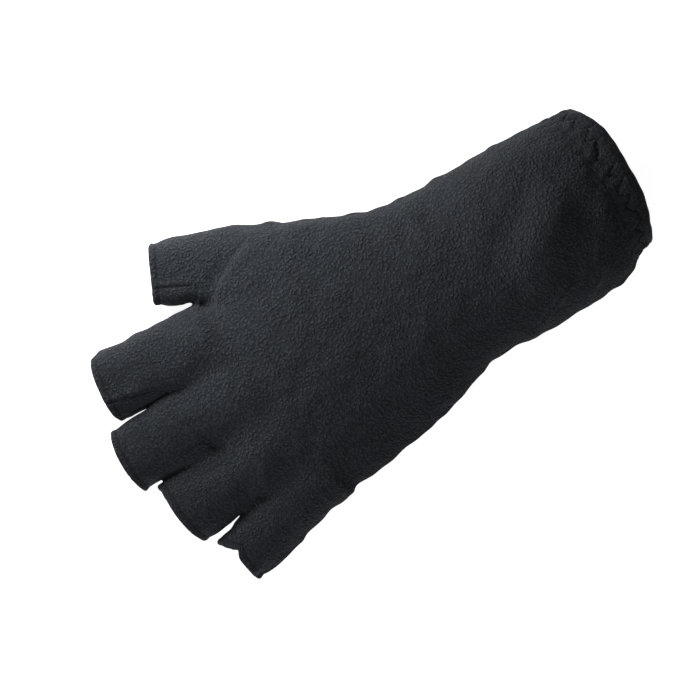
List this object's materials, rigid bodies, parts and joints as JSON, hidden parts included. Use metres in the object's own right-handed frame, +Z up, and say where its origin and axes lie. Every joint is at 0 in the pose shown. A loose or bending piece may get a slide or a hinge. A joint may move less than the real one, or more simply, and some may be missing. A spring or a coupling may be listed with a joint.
{
  "type": "sailing glove",
  "caption": "Left-hand fingerless fleece glove for sailing: open finger and thumb stalls, long sleeve wrist and an elasticated, zigzag-stitched cuff hem.",
  "frame": {"origin": "middle of the glove's outline, on the plane that its palm rests on", "axes": "+X towards the thumb, +Y towards the fingertips, +Z up, out of the back of the hand"},
  "size_m": [0.1297, 0.2199, 0.0502],
  "materials": {
    "fleece": "short pebbled pile, matt, near-black with a blue cast",
    "hem_fleece": "the same fleece, turned and pressed flat",
    "elastic": "woven elastic tape",
    "thread": "black sewing thread, slight sheen"
  },
  "bodies": {
    "hand": {"back_panel": "fleece", "palm_panel": "fleece", "thumb_gusset_back": "fleece", "thumb_gusset_palm": "fleece", "index_middle_crotch": "fleece", "middle_ring_crotch": "fleece", "ring_little_crotch": "fleece", "wrist_fold": "fleece", "index_fold": "fleece", "middle_fold": "fleece", "ring_fold": "fleece", "little_fold": "fleece", "thumb_fold": "fleece"},
    "cuff": {"cuff_back": "fleece", "cuff_palm": "fleece", "cuff_hem": "hem_fleece", "cuff_elastic": "elastic", "cuff_zigzag": "thread"},
    "index": {"index_back": "fleece", "index_palm": "fleece", "index_fourchette_middle": "fleece", "index_hem": "hem_fleece"},
    "middle": {"middle_back": "fleece", "middle_palm": "fleece", "middle_fourchette_index": "fleece", "middle_fourchette_ring": "fleece", "middle_hem": "hem_fleece"},
    "ring": {"ring_back": "fleece", "ring_palm": "fleece", "ring_fourchette_middle": "fleece", "ring_fourchette_little": "fleece", "ring_hem": "hem_fleece"},
    "little": {"little_back": "fleece", "little_palm": "fleece", "little_fourchette_ring": "fleece", "little_hem": "hem_fleece"},
    "thumb": {"thumb_back": "fleece", "thumb_palm": "fleece", "thumb_hem": "hem_fleece"}
  },
  "joints": [
    {"name": "wrist_bend", "type": "hinge", "parent": "hand", "child": "cuff", "pos_m": [-0.006, -0.037, 0.022], "axis": [1, 0, 0], "range_deg": [-40, 40], "deforming": ["wrist_fold"]},
    {"name": "index_bend", "type": "hinge", "parent": "hand", "child": "index", "pos_m": [0.02578, 0.08751, 0.01261], "axis": [-0.9962, 0.0872, 0], "range_deg": [-15, 60], "deforming": ["index_fold"]},
    {"name": "middle_bend", "type": "hinge", "parent": "hand", "child": "middle", "pos_m": [-0.00074, 0.08647, 0.01275], "axis": [-0.9997, 0.0262, 0], "range_deg": [-15, 60], "deforming": ["middle_fold"]},
    {"name": "ring_bend", "type": "hinge", "parent": "hand", "child": "ring", "pos_m": [-0.02723, 0.0834, 0.01237], "axis": [-0.9962, -0.0872, 0], "range_deg": [-15, 60], "deforming": ["ring_fold"]},
    {"name": "little_bend", "type": "hinge", "parent": "hand", "child": "little", "pos_m": [-0.05109, 0.07734, 0.01162], "axis": [-0.9744, -0.225, 0], "range_deg": [-15, 60], "deforming": ["little_fold"]},
    {"name": "thumb_bend", "type": "hinge", "parent": "hand", "child": "thumb", "pos_m": [0.04805, 0.05159, 0.01362], "axis": [-0.7784, 0.3796, 0.5], "range_deg": [-20, 30], "deforming": ["thumb_fold"]}
  ]
}
